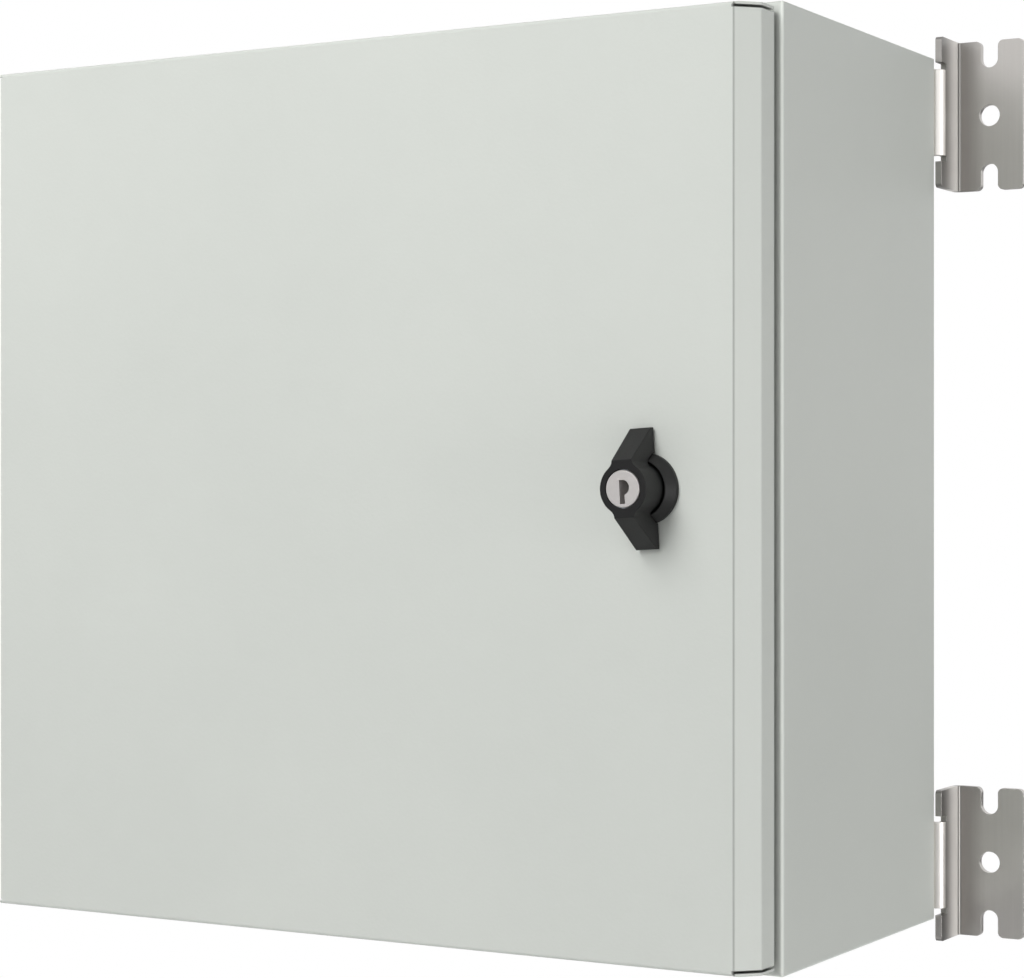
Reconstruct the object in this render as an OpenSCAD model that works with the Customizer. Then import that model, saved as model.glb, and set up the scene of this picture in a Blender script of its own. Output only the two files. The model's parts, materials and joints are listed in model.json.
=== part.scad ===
// Steel wall enclosure with a hinged door, a wing-knob lock and four wall brackets.
// X runs to the right, Y towards the wall and Z up. The origin lies on the wall,
// at the centre of the four wall holes.

/* [Body] */
// Width of the body
body_w = 400; // [360:10:600]
// Height of the body
body_h = 400; // [360:10:600]
// Depth of the body, from its front rim to its rear wall
body_d = 170; // [150:5:300]
// Thickness of the body sheet
body_sheet = 1.5; // [1.2:0.1:2]
// Gap between the rear wall and the building's wall
standoff = 25; // [22:1:40]
// Inside radius of the folds in the body and the door
fold_r = 0.4; // [0.3:0.1:1.5]
// Outside radius of the four long edges of the body
edge_r = 1.5; // [1:0.5:5]
// Height of the sealing lip, forward of the rim
lip_len = 12; // [11:0.5:13.5]

/* [Door] */
// How far the door's edges sit inside the body's
door_inset = 3; // [2:0.5:5]
// Depth of the folded door, front face to rear edge
door_depth = 20.6; // [19:0.2:21.4]
// Gap between the door's rear edge and the body's rim
door_gap = 2.5; // [1.5:0.1:3]
// Thickness of the door sheet
door_sheet = 1.2; // [1:0.1:1.5]
// Width and depth of the slanted edge on the lock side
chamfer = 8.6; // [6:0.2:10]
// Open seam between the folded edges at each corner
corner_seam = 1; // [0.4:0.1:1.5]
// Width of the relief notch at each end of the slanted edge's bend
relief_w = 0.6; // [0.4:0.1:1]
// Width of the foam gasket
gasket_w = 12; // [8:1:12]

/* [Hinges] */
// Distance from the top or bottom of the body to the middle of a hinge
hinge_inset = 70; // [50:5:90]
// Distance from the door's outer face to the hinge axis
hinge_in = 5.5; // [5.3:0.1:6]
// How far the hinge axis lies forward of the sealing lip
hinge_lead = 0.5; // [0.2:0.1:1]
// Outside radius of the knuckles
knuckle_r = 3.8; // [3.4:0.1:3.9]
// Radius of the hinge pin
pin_r = 2; // [1.5:0.1:2.2]
// Length of the knuckle on the body
knuckle_len = 14; // [10:1:16]
// Length of the foot of each hinge leaf
leaf_len = 40; // [36:1:60]
// Thickness of the hinge leaves
leaf_t = 2; // [1.6:0.1:2.2]

/* [Lock] */
// Distance from the side of the body to the lock axis
lock_inset = 51; // [48:1:70]
// Height of the lock above the middle
lock_z = 0; // [-100:5:100]
// How far the knob stands turned from upright, in degrees
knob_lean = 3.3; // [0:0.1:5]
// Length of the knob over its two wings
knob_span = 50; // [46:1:70]
// Height of the knob's front face above the door
knob_h = 21; // [20:0.5:25]
// Radius of the knob's hub
hub_r = 10.6; // [10:0.1:11]
// Radius of the collar under the knob
collar_r = 14.8; // [14.2:0.1:17]
// Height of the collar's inner rim above the door
collar_h = 6.6; // [5.5:0.1:7.5]
// Radius of the lock cylinder's face
plug_r = 7.55; // [6.5:0.05:7.8]
// Radius of the threaded barrel behind the collar
barrel_r = 11; // [9:0.5:12]
// How far the cam reaches past the sealing lip
cam_overlap = 12; // [8:1:16]
// Thickness of the cam
cam_t = 3; // [2:0.5:4]

/* [Wall brackets] */
// Thickness of the bracket plate
bracket_t = 3; // [2:0.5:4]
// Height of a bracket
bracket_h = 70; // [64:1:100]
// Width of the flange that lies on the wall
flange_w = 31.5; // [28:0.5:40]
// Distance from the top of the body to the middle of a bracket
bracket_inset = 25; // [22:1:60]
// Distance from a bracket's fold to its wall hole and slots
hole_reach = 15; // [14:0.5:25]
// Radius of the wall hole in each bracket
wall_hole_r = 5; // [3:0.25:5.5]
// Width of the open slots in a bracket's ends
slot_w = 8.2; // [6:0.2:10]
// Length of the open slots
slot_len = 12.5; // [9:0.5:15]
// Height of the tab that is bolted to the rear wall
tab_h = 40; // [30:1:44]

/* [Inside] */
// Thickness of the mounting plate
plate_t = 2; // [1.5:0.5:3]
// Gap between the rear wall and the mounting plate
plate_standoff = 12; // [10:1:30]
// Gap from the edge of the mounting plate to the opening in the rim
plate_clear = 3; // [2:1:10]
// Distance from the plate's edges to its studs
stud_inset = 15; // [12:1:20]
// Width of the gland opening in the floor
gland_w = 200; // [120:10:240]
// Depth of the gland opening
gland_d = 80; // [50:5:90]
// Width of the border of the gland plate round its opening
gland_border = 15; // [13:1:20]

/* [Hidden] */
$fn = 48;

paint = [0.83, 0.84, 0.82];
stainless = [0.68, 0.67, 0.65];
zinc = [0.74, 0.75, 0.76];
black_plastic = [0.12, 0.12, 0.13];
foam = [0.16, 0.16, 0.17];

// Widths across flats of the hexagons, and the screw sizes they go with
m4_across = 7;
m5_across = 8;
m6_across = 10;
m8_across = 13;
m4_r = 2;
m5_r = 2.5;
m6_r = 3;
m8_r = 4;
m4_nut_h = 3.2;
m5_nut_h = 4;
m6_nut_h = 5;
m8_nut_h = 6.5;
m4_head_r = 3.75;
m4_head_h = 1.6;
m5_head_h = 3.5;
m8_head_h = 5.3;
m8_washer_r = 8;
washer_t = 1.6;
thread_end = 2;
head_flange_t = 1;

running_fit = 0.05;
bolt_clear = 0.5;
screw_clear = 0.2;
part_gap = 0.4;
cut = 1;

// Half sizes across the enclosure
half_w = body_w / 2;
half_h = body_h / 2;
door_half_w = half_w - door_inset;
door_half_h = half_h - door_inset;

// Planes from the wall to the front
y_rear = -standoff;
y_front = y_rear - body_d;
y_lip = y_front - lip_len;
y_door_rear = y_front - door_gap;
y_door = y_door_rear - door_depth;
y_skin = y_door + door_sheet;
y_inner = y_rear - body_sheet;

// The lip stands clear of the door's edge as the door swings on its hinges
swing_clear = 0.6;
hinge_x = -(door_half_w - hinge_in);
hinge_y = y_lip - hinge_lead;
swing_r = norm([hinge_in, y_door_rear - hinge_y]);
lip_inset = door_inset + hinge_in + swing_r + swing_clear;
rim_fold = lip_inset + body_sheet;
lip_half_w = half_w - rim_fold;
lip_half_h = half_h - rim_fold;
lock_x = half_w - lock_inset;

// Round shapes with exact arcs
module rounded_rect(w, h, r) {
    square([w - 2 * r, h], center = true);
    square([w, h - 2 * r], center = true);
    for (x = [-1, 1], y = [-1, 1])
        translate([x * (w / 2 - r), y * (h / 2 - r)]) circle(r);
}

// What a rounded corner at the origin leaves out of the quarter x > 0, y > 0
module corner_round(r) {
    difference() {
        translate([-cut, -cut]) square(r + cut);
        translate([r, r]) circle(r);
    }
}

// A shape drawn in X and Z, standing from y0 to y1
module along_y(y0, y1) {
    translate([0, y1, 0]) rotate([90, 0, 0]) linear_extrude(y1 - y0) children();
}

// A part that points forward from a plane at y, with its own z running to the front
module facing_front(x, y, z) {
    translate([x, y, z]) rotate([90, 0, 0]) children();
}

// A part that points back from a plane at y
module facing_rear(x, y, z) {
    translate([x, y, z]) rotate([-90, 0, 0]) children();
}

module ring(r_out, r_in, h) {
    difference() {
        cylinder(r = r_out, h = h);
        translate([0, 0, -cut]) cylinder(r = r_in, h = h + 2 * cut);
    }
}

// Hexagon nut by its width across flats
module hex_nut(across, r_in, h) {
    difference() {
        cylinder(d = across / cos(30), h = h, $fn = 6);
        translate([0, 0, -cut]) cylinder(r = r_in, h = h + 2 * cut);
    }
}

// Hexagon bolt: its head stands above z = 0, its shank below
module hex_bolt(across, head_h, r, length) {
    cylinder(d = across / cos(30), h = head_h, $fn = 6);
    translate([0, 0, -length]) cylinder(r = r, h = length);
}

// Folded sheet: path is one face of the sheet, which lies on the left of the path.
// Each bend keeps the inside radius r; its arc is centred where both legs are offset alike.
bend_steps = 6;
function unit(v) = v / norm(v);
function left(v) = [-v[1], v[0]];
function turned(v, a) = [v[0] * cos(a) - v[1] * sin(a), v[0] * sin(a) + v[1] * cos(a)];
function bend(a, b, c, sheet, off, r) =
    let (u = unit(b - a), v = unit(c - b))
    let (angle = atan2(u[0] * v[1] - u[1] * v[0], u * v), side = sign(angle))
    let (shift = side > 0 ? r + sheet : -r, radius = side > 0 ? r + sheet - off : r + off)
    let (centre = b + shift * (left(u) + left(v)) / (1 + u * v))
    [for (k = [0 : bend_steps]) centre - side * radius * left(turned(u, angle * k / bend_steps))];
function face(path, sheet, off, r) =
    let (last = len(path) - 1)
    concat(
        [path[0] + off * left(unit(path[1] - path[0]))],
        [for (i = [1 : 1 : last - 1]) each bend(path[i - 1], path[i], path[i + 1], sheet, off, r)],
        [path[last] + off * left(unit(path[last] - path[last - 1]))]);
function reversed(list) = [for (i = [len(list) - 1 : -1 : 0]) list[i]];
module folded(path, sheet, r) {
    polygon(concat(face(path, sheet, 0, r), reversed(face(path, sheet, sheet, r))));
}

// Solid whose section across the width and the height is the given outline, drawn for the
// right half from the front to the rear; its corners come out mitred
module both_halves(points) {
    polygon(concat(points, [for (p = reversed(points)) [-p[0], p[1]]]));
}

module frame_solid(across_w, across_h) {
    intersection() {
        linear_extrude(body_h + 2 * cut, center = true) both_halves(across_w);
        rotate([0, 90, 0]) linear_extrude(body_w + 2 * cut, center = true) both_halves(across_h);
    }
}

module at_plate_studs(y) {
    plate_half_w = lip_half_w - plate_clear - stud_inset;
    plate_half_h = lip_half_h - plate_clear - stud_inset;
    for (x = [-1, 1], z = [-1, 1])
        facing_front(x * plate_half_w, y, z * plate_half_h) children();
}

bracket_bolt_x = half_w - bracket_inset;
bracket_z = half_h - bracket_inset;
module at_bracket_bolts(y) {
    for (x = [-1, 1], z = [-1, 1])
        facing_front(x * bracket_bolt_x, y, z * bracket_z) children();
}

// Body ---------------------------------------------------------------
hinge_z = half_h - hinge_inset;
bolt_hole_r = m8_r + bolt_clear;
leaf_screw_inset = 6;
leaf_screw_lead = 5;
screw_z = leaf_len / 2 - leaf_screw_inset;
leaf_screw_x = hinge_x + leaf_screw_lead;

gland_y = (y_front + y_rear) / 2;
gland_corner_r = 6;
module at_gland_screws() {
    x_reach = (gland_w + gland_border) / 2;
    y_reach = (gland_d + gland_border) / 2;
    for (x = [-1, 0, 1], y = [-1, 1])
        translate([x * x_reach, gland_y + y * y_reach, -half_h]) children();
}

// The body sheet runs from the tip of the sealing lip over the rim and the side to the rear wall
function body_path(half) = [
    [half - lip_inset, y_lip], [half - lip_inset, y_front],
    [half, y_front], [half, y_rear], [half - rim_fold, y_rear]];
function body_outside(half) = face(body_path(half), body_sheet, 0, fold_r);
function body_inside(half) = concat(
    [[half - rim_fold, y_lip - cut]], face(body_path(half), body_sheet, body_sheet, fold_r));

module body_shell() {
    color(paint) difference() {
        intersection() {
            frame_solid(body_outside(half_w), body_outside(half_h));
            along_y(y_lip - cut, cut) rounded_rect(body_w, body_h, edge_r);
        }
        frame_solid(body_inside(half_w), body_inside(half_h));
        at_bracket_bolts(y_rear + cut) cylinder(r = bolt_hole_r, h = body_sheet + 2 * cut);
        for (z = [-hinge_z, hinge_z], s = [-1, 1])
            facing_rear(leaf_screw_x, y_front - cut, z + s * screw_z)
                cylinder(r = m4_r + screw_clear, h = body_sheet + 2 * cut);
        translate([0, gland_y, -half_h - cut]) linear_extrude(body_sheet + 2 * cut)
            rounded_rect(gland_w, gland_d, gland_corner_r);
        at_gland_screws() translate([0, 0, -cut])
            cylinder(r = m5_r + bolt_clear, h = body_sheet + 2 * cut);
    }
}

// Mounting plate -----------------------------------------------------
plate_half_w = lip_half_w - plate_clear;
plate_half_h = lip_half_h - plate_clear;
y_plate = y_inner - plate_standoff - plate_t;
plate_corner_r = 5;
spacer_r = 7;
stud_tip = 1;

module mounting_plate() {
    color(zinc) difference() {
        along_y(y_plate, y_plate + plate_t)
            rounded_rect(2 * plate_half_w, 2 * plate_half_h, plate_corner_r);
        at_plate_studs(y_plate + plate_t + cut) cylinder(r = bolt_hole_r, h = plate_t + 2 * cut);
    }
}

module plate_studs() {
    length = plate_standoff + plate_t + washer_t + m8_nut_h + thread_end;
    color(zinc) at_plate_studs(y_inner) {
        cylinder(r = m8_r, h = length);
        translate([0, 0, length]) cylinder(r1 = m8_r, r2 = m8_r - stud_tip, h = stud_tip);
    }
}

module plate_spacers() {
    color(zinc) at_plate_studs(y_inner) ring(spacer_r, bolt_hole_r, plate_standoff);
}

module plate_washers() {
    color(zinc) at_plate_studs(y_plate) ring(m8_washer_r, bolt_hole_r, washer_t);
}

module plate_nuts() {
    color(zinc) at_plate_studs(y_plate - washer_t) hex_nut(m8_across, m8_r + running_fit, m8_nut_h);
}

// Gland plate --------------------------------------------------------
gland_gasket_t = 1.5;
gland_plate_t = 2;
gland_plate_corner_r = 8;

module gland_outline() {
    rounded_rect(gland_w + 2 * gland_border, gland_d + 2 * gland_border, gland_plate_corner_r);
}

module gland_gasket() {
    color(foam) difference() {
        translate([0, gland_y, -half_h - gland_gasket_t]) linear_extrude(gland_gasket_t)
            difference() {
                gland_outline();
                rounded_rect(gland_w, gland_d, gland_corner_r);
            }
        at_gland_screws() translate([0, 0, -gland_gasket_t - cut])
            cylinder(r = m5_r + bolt_clear, h = gland_gasket_t + 2 * cut);
    }
}

module gland_plate() {
    z = -half_h - gland_gasket_t - gland_plate_t;
    color(paint) difference() {
        translate([0, gland_y, z]) linear_extrude(gland_plate_t) gland_outline();
        at_gland_screws() translate([0, 0, z + half_h - cut])
            cylinder(r = m5_r + bolt_clear, h = gland_plate_t + 2 * cut);
    }
}

module gland_screws() {
    grip = gland_plate_t + gland_gasket_t;
    flange_r = 5.6;
    dimple = 1;
    color(zinc) at_gland_screws() translate([0, 0, -grip]) mirror([0, 0, 1])
        difference() {
            union() {
                hex_bolt(m5_across, m5_head_h, m5_r, grip + body_sheet + m5_nut_h + thread_end);
                cylinder(r = flange_r, h = head_flange_t);
            }
            translate([0, 0, m5_head_h - dimple]) cylinder(r = m5_r, h = dimple + cut);
        }
}

module gland_nuts() {
    color(zinc) at_gland_screws() translate([0, 0, body_sheet])
        hex_nut(m5_across, m5_r + running_fit, m5_nut_h);
}

// Wall brackets ------------------------------------------------------
bracket_gap = 0.5;
bracket_bend = 1;
notch_h = 3;
notch_depth = 7;
ear_lead = 1.1;
slot_mouth_r = 2.6;
ear_r = 2;
y_ear = y_rear - ear_lead;
x_riser = half_w + bracket_gap;
x_flange = x_riser + bracket_t;
x_flange_end = x_flange + flange_w;
x_wall_hole = x_flange + hole_reach;
tab_reach = 13;
x_tab_end = bracket_bolt_x - tab_reach;

// Open slot in the top of the flange, with rounded mouth
module end_slot() {
    translate([-slot_w / 2, -slot_len + slot_w / 2]) square([slot_w, slot_len]);
    translate([0, -slot_len + slot_w / 2]) circle(slot_w / 2);
    for (side = [0, 1])
        mirror([side, 0]) translate([slot_w / 2, 0]) mirror([0, 1]) corner_round(slot_mouth_r);
}

// Upper right bracket; the other three are its mirror images
module wall_bracket(side_x, side_z) {
    color(stainless) mirror([side_x < 0 ? 1 : 0, 0, 0]) mirror([0, 0, side_z < 0 ? 1 : 0])
        translate([0, 0, bracket_z]) difference() {
            union() {
                difference() {
                    linear_extrude(bracket_h, center = true)
                        folded([[x_flange_end, 0], [x_riser, 0], [x_riser, y_ear]],
                            bracket_t, bracket_bend);
                    translate([x_riser - cut, y_ear - cut, -tab_h / 2 - notch_h])
                        cube([bracket_t + 2 * cut, notch_depth + cut, tab_h + 2 * notch_h]);
                }
                linear_extrude(tab_h, center = true)
                    folded([[x_riser + bracket_bend + bracket_t, 0], [x_riser, 0],
                        [x_riser, y_rear + bracket_t], [x_tab_end, y_rear + bracket_t]],
                        bracket_t, bracket_bend);
            }
            along_y(-bracket_t - cut, cut) {
                translate([x_wall_hole, 0]) circle(wall_hole_r);
                for (end = [0, 1]) mirror([0, end]) {
                    translate([x_wall_hole, bracket_h / 2]) end_slot();
                    translate([x_flange_end, bracket_h / 2]) rotate(180) corner_round(slot_mouth_r);
                }
            }
            for (end = [0, 1]) mirror([0, 0, end])
                translate([x_riser - cut, y_ear, bracket_h / 2]) rotate([90, 0, 90])
                    linear_extrude(bracket_t + 2 * cut) mirror([0, 1]) corner_round(ear_r);
            facing_front(bracket_bolt_x, y_rear + bracket_t + cut, 0)
                cylinder(r = bolt_hole_r, h = bracket_t + 2 * cut);
        }
}

module upper_left_bracket() { wall_bracket(-1, 1); }
module upper_right_bracket() { wall_bracket(1, 1); }
module lower_left_bracket() { wall_bracket(-1, -1); }
module lower_right_bracket() { wall_bracket(1, -1); }

bracket_seal_t = 1.5;
module bracket_seals() {
    color(foam) at_bracket_bolts(y_inner) ring(m8_washer_r, m8_r + running_fit, bracket_seal_t);
}

module bracket_bolts() {
    grip = bracket_seal_t + body_sheet + bracket_t + washer_t + m8_nut_h;
    color(zinc) at_bracket_bolts(y_inner - bracket_seal_t) {
        hex_bolt(m8_across, m8_head_h, m8_r, grip + thread_end);
        cylinder(r = m8_washer_r, h = head_flange_t);
    }
}

module bracket_washers() {
    color(zinc) at_bracket_bolts(y_rear + bracket_t + washer_t)
        ring(m8_washer_r, bolt_hole_r, washer_t);
}

module bracket_nuts() {
    color(zinc) at_bracket_bolts(y_rear + bracket_t + washer_t + m8_nut_h)
        hex_nut(m8_across, m8_r + running_fit, m8_nut_h);
}

// Hinges -------------------------------------------------------------
pin_bore_r = pin_r + running_fit;
door_knuckle_len = 10;
door_foot_w = 7.8;
knuckle_gap = 0.4;
leaf_clear = 1;
notch_lead = 4.8;

module knuckle(length) {
    translate([hinge_x, hinge_y, 0]) cylinder(r = knuckle_r, h = length, center = true);
}

module pin_bore() {
    translate([hinge_x, hinge_y, 0]) cylinder(r = pin_bore_r, h = 4 * knuckle_len, center = true);
}

// The body's leaf stands on the rim; its web lies on the side that the door swings clear of
foot_lead = 4;
foot_w = 13;
web_lead = 0.3;
web_t = 2.5;
module hinge_body_leaf(z) {
    color(zinc) translate([0, 0, z]) difference() {
        union() {
            knuckle(knuckle_len);
            translate([hinge_x + web_lead, hinge_y, -knuckle_len / 2])
                cube([web_t, y_front - leaf_t / 2 - hinge_y, knuckle_len]);
            translate([hinge_x - foot_lead, y_front - leaf_t, -leaf_len / 2])
                cube([foot_w, leaf_t, leaf_len]);
        }
        pin_bore();
        for (s = [-1, 1]) facing_rear(leaf_screw_x, y_front - leaf_t, s * screw_z) {
            translate([0, 0, -cut]) cylinder(r = m4_r + screw_clear, h = leaf_t + 2 * cut);
            translate([0, 0, -running_fit])
                cylinder(r1 = m4_head_r + screw_clear / 2, r2 = m4_r + screw_clear / 2,
                    h = m4_head_h + running_fit);
        }
    }
}

module upper_hinge_body_leaf() { hinge_body_leaf(hinge_z); }
module lower_hinge_body_leaf() { hinge_body_leaf(-hinge_z); }

// Countersunk screws through the foot and the rim, with nuts behind the rim
module at_hinge_screws(y) {
    for (z = [-hinge_z, hinge_z], s = [-1, 1])
        facing_rear(leaf_screw_x, y, z + s * screw_z) children();
}

module hinge_screws() {
    color(zinc) at_hinge_screws(y_front - leaf_t) {
        cylinder(r1 = m4_head_r, r2 = m4_r, h = m4_head_h);
        cylinder(r = m4_r, h = leaf_t + body_sheet + m4_nut_h + thread_end);
    }
}

module hinge_nuts() {
    color(zinc) at_hinge_screws(y_front + body_sheet) hex_nut(m4_across, m4_r + running_fit, m4_nut_h);
}

module hinge_door_leaf(z) {
    foot_x = hinge_x - hinge_in + door_sheet + fold_r + part_gap;
    knuckle_z = (knuckle_len + door_knuckle_len) / 2 + knuckle_gap;
    color(zinc) translate([0, 0, z]) difference() {
        union() {
            translate([foot_x, y_skin, -leaf_len / 2]) cube([door_foot_w, leaf_t, leaf_len]);
            for (s = [-1, 1]) translate([0, 0, s * knuckle_z]) {
                knuckle(door_knuckle_len);
                translate([hinge_x - web_t / 2, y_skin, -door_knuckle_len / 2])
                    cube([web_t, hinge_y - y_skin, door_knuckle_len]);
            }
        }
        pin_bore();
    }
}

module upper_hinge_door_leaf() { hinge_door_leaf(hinge_z); }
module lower_hinge_door_leaf() { hinge_door_leaf(-hinge_z); }

module hinge_pin(z) {
    reach = knuckle_len / 2 + knuckle_gap + door_knuckle_len;
    head_h = 1.5;
    head_rim = 1;
    tip_h = 1;
    tip_draft = 0.5;
    color(zinc) translate([hinge_x, hinge_y, z]) {
        translate([0, 0, -reach - tip_h]) cylinder(r1 = pin_r - tip_draft, r2 = pin_r, h = tip_h);
        translate([0, 0, -reach]) cylinder(r = pin_r, h = 2 * reach);
        translate([0, 0, reach]) cylinder(r = pin_r + head_rim, h = head_h);
    }
}

module upper_hinge_pin() { hinge_pin(hinge_z); }
module lower_hinge_pin() { hinge_pin(-hinge_z); }

// Earth studs --------------------------------------------------------
earth_len = 16;
earth_inset = 40;
earth_rise = 50;
earth_flange_r = 5;
earth_washer_r = 6;
module at_body_earth(lift) {
    translate([body_sheet - half_w + lift, y_front + earth_inset, earth_rise - half_h])
        rotate([0, 90, 0]) children();
}

module at_door_earth(lift) {
    facing_rear(door_inset + earth_inset - half_w, y_skin + lift, door_inset + earth_inset - half_h)
        children();
}

module earth_stud() {
    color(zinc) {
        cylinder(r = m6_r, h = earth_len);
        cylinder(r = earth_flange_r, h = head_flange_t);
    }
}

module earth_washer() { color(zinc) ring(earth_washer_r, m6_r + running_fit, washer_t); }
module earth_nut() { color(zinc) hex_nut(m6_across, m6_r + running_fit, m6_nut_h); }
module body_earth_stud() { at_body_earth(0) earth_stud(); }
module body_earth_washer() { at_body_earth(head_flange_t) earth_washer(); }
module body_earth_nut() { at_body_earth(head_flange_t + washer_t) earth_nut(); }
module door_earth_stud() { at_door_earth(0) earth_stud(); }
module door_earth_washer() { at_door_earth(head_flange_t) earth_washer(); }
module door_earth_nut() { at_door_earth(head_flange_t + washer_t) earth_nut(); }

// Door ---------------------------------------------------------------
bend_r = fold_r + door_sheet;
strip_half_h = door_half_h - door_sheet - corner_seam;

// Folded edge of the door from the start of its bend to its rear edge
module door_edge(half_across) {
    folded([[half_across - bend_r, y_door], [half_across, y_door], [half_across, y_door_rear]],
        door_sheet, fold_r);
}

module door_skin() {
    x_bend = door_half_w - chamfer;
    color(paint) difference() {
        union() {
            // Front plate with its slanted edge on the lock side
            along_y(y_door, y_skin)
                translate([bend_r - door_half_w, bend_r - door_half_h])
                    square([x_bend - bend_r + door_half_w, 2 * (door_half_h - bend_r)]);
            linear_extrude(2 * strip_half_h, center = true)
                folded([[x_bend - chamfer, y_door], [x_bend, y_door],
                    [door_half_w, y_door + chamfer], [door_half_w, y_door_rear]],
                    door_sheet, fold_r);
            // Edge on the hinge side
            linear_extrude(2 * strip_half_h, center = true) mirror([1, 0]) door_edge(door_half_w);
            // Top and bottom edges, cut to the slanted profile
            intersection() {
                for (turn = [-1, 1]) rotate([0, 90 * turn, 0])
                    linear_extrude(2 * door_half_w, center = true) door_edge(door_half_h);
                linear_extrude(body_h, center = true)
                    polygon([[-door_half_w, y_door], [x_bend, y_door],
                        [door_half_w, y_door + chamfer], [door_half_w, y_door_rear],
                        [-door_half_w, y_door_rear]]);
            }
        }
        // Notches in the hinge side that let the body's leaves through
        for (z = [-hinge_z, hinge_z])
            translate([-door_half_w - cut, hinge_y - notch_lead, z - leaf_len / 2 - leaf_clear])
                cube([door_sheet + 2 * cut, door_depth, leaf_len + 2 * leaf_clear]);
        at_lock() translate([0, 0, -door_sheet - cut])
            cylinder(r = barrel_r + bolt_clear / 2, h = door_sheet + 2 * cut);
        // Open seam over the slanted edge, with a relief notch where its bend starts
        for (end = [0, 1]) mirror([0, 0, end])
            translate([x_bend - relief_w / 2, y_door - cut, strip_half_h]) {
                cube([chamfer, bend_r + cut, corner_seam]);
                cube([relief_w, bend_r + cut, body_h]);
            }
    }
}

// Foam bead round the door that the sealing lip presses into: its flanks are quarter ellipses
// between the foot of the bead and its flat crown
seal_gap = 0.3;
y_bead = y_lip - seal_gap;
bead_crown = 4;
bead_foot = 3;
bead_steps = 6;
function bead_flank(mid, side) = [for (k = [0 : bead_steps])
    let (a = 90 * k / bead_steps)
    [mid + side * (bead_crown / 2 + (gasket_w - bead_crown) / 2 * cos(a)),
        y_skin + bead_foot + (y_bead - y_skin - bead_foot) * sin(a)]];
function bead_outside(half) =
    let (mid = half - lip_inset - body_sheet / 2)
    concat([[mid + gasket_w / 2, y_skin]], bead_flank(mid, 1));
function bead_inside(half) =
    let (mid = half - lip_inset - body_sheet / 2)
    concat([[mid - gasket_w / 2, y_skin - cut]], bead_flank(mid, -1), [[mid - bead_crown / 2, y_bead + cut]]);

module door_gasket() {
    color(foam) difference() {
        frame_solid(bead_outside(half_w), bead_outside(half_h));
        frame_solid(bead_inside(half_w), bead_inside(half_h));
    }
}

// Lock ---------------------------------------------------------------
// Heights z are measured from the door's front face, forward positive
module at_lock() {
    facing_front(lock_x, y_door, lock_z) children();
}

module at_knob() {
    at_lock() rotate(knob_lean) children();
}

seal_t = 0.6;
collar_wall_h = 1.9;
collar_skirt = 1;
collar_land = 0.4;
groove_w = 1;
socket_z = 2.2;
spindle_r = 6;
barrel_len = 19;
cam_clear = 1.5;
z_cam = -(door_depth + door_gap + body_sheet + cam_clear);

module collar_seal() {
    color(foam) at_lock() ring(collar_r - collar_skirt, barrel_r + running_fit, seal_t);
}

// The collar slopes from its outer wall up to the rim round the hub
module collar_profile(clear) {
    outer = collar_r + clear;
    inner = hub_r + groove_w + collar_land + clear;
    polygon([[0, 0], [outer, 0], [outer, collar_wall_h + clear], [inner, collar_h + clear],
        [0, collar_h + clear]]);
}

module lock_collar() {
    color(black_plastic) at_lock() difference() {
        rotate_extrude() {
            collar_profile(0);
            translate([0, -barrel_len]) square([barrel_r, barrel_len + seal_t]);
        }
        ring(collar_r - collar_skirt + running_fit, barrel_r, seal_t);
        translate([0, 0, socket_z]) cylinder(r = hub_r + groove_w, h = collar_h);
        translate([0, 0, -barrel_len - cut]) cylinder(r = spindle_r + running_fit, h = 2 * barrel_len);
    }
}

module lock_nut() {
    nut_h = 6;
    nut_wall = 2.5;
    color(zinc) at_lock() translate([0, 0, -door_sheet - nut_h])
        hex_nut(2 * (barrel_r + nut_wall), barrel_r + running_fit, nut_h);
}

// Wing knob: two drafted wings with sloping fronts, astride a round hub
wing_shoulder = 11.7;
wing_tip_h = 2.7;
wing_base = 0.8;
wing_front_w = 9;
wing_base_w = 9.8;
wing_fillet = 4;
core_wall = 1.3;
core_r = plug_r + core_wall;
core_z = 5.4;
face_lip = 1.4;
plug_z = 7;

module wing_side() {
    reach = knob_span / 2;
    outline = [
        [0, knob_h], [wing_shoulder, knob_h], [reach, wing_tip_h], [reach, wing_base], [0, wing_base]];
    for (side = [0, 1]) mirror([side, 0]) polygon(outline);
}

// Fillet in the corner between the hub and a wing's flank, tangent to both
module hub_fillet() {
    flank = wing_front_w / 2;
    centre = [flank + wing_fillet, sqrt(pow(hub_r + wing_fillet, 2) - pow(flank + wing_fillet, 2))];
    difference() {
        polygon([[0, 0], centre * hub_r / (hub_r + wing_fillet), centre, [0, centre[1]]]);
        translate(centre) circle(wing_fillet);
    }
}

module wings() {
    intersection() {
        rotate([90, 0, 90]) linear_extrude(2 * knob_span, center = true) wing_side();
        union() {
            rotate([90, 0, 0]) linear_extrude(knob_span, center = true)
                polygon([[-wing_base_w / 2, wing_base], [wing_base_w / 2, wing_base],
                    [wing_front_w / 2, knob_h], [-wing_front_w / 2, knob_h]]);
            for (side = [0, 1], end = [0, 1])
                mirror([side, 0]) mirror([0, end]) linear_extrude(knob_h) hub_fillet();
        }
    }
}

module wing_knob() {
    hub_edge = 0.2;
    color(black_plastic) at_knob() difference() {
        union() {
            rotate_extrude()
                polygon([[0, socket_z + part_gap], [hub_r, socket_z + part_gap],
                    [hub_r, knob_h - hub_edge], [hub_r - hub_edge, knob_h], [0, knob_h]]);
            difference() {
                wings();
                rotate_extrude() collar_profile(part_gap);
            }
        }
        translate([0, 0, socket_z]) cylinder(r = core_r + running_fit, h = knob_h - face_lip - socket_z);
        cylinder(r = plug_r + part_gap, h = knob_h + cut);
    }
}

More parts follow.
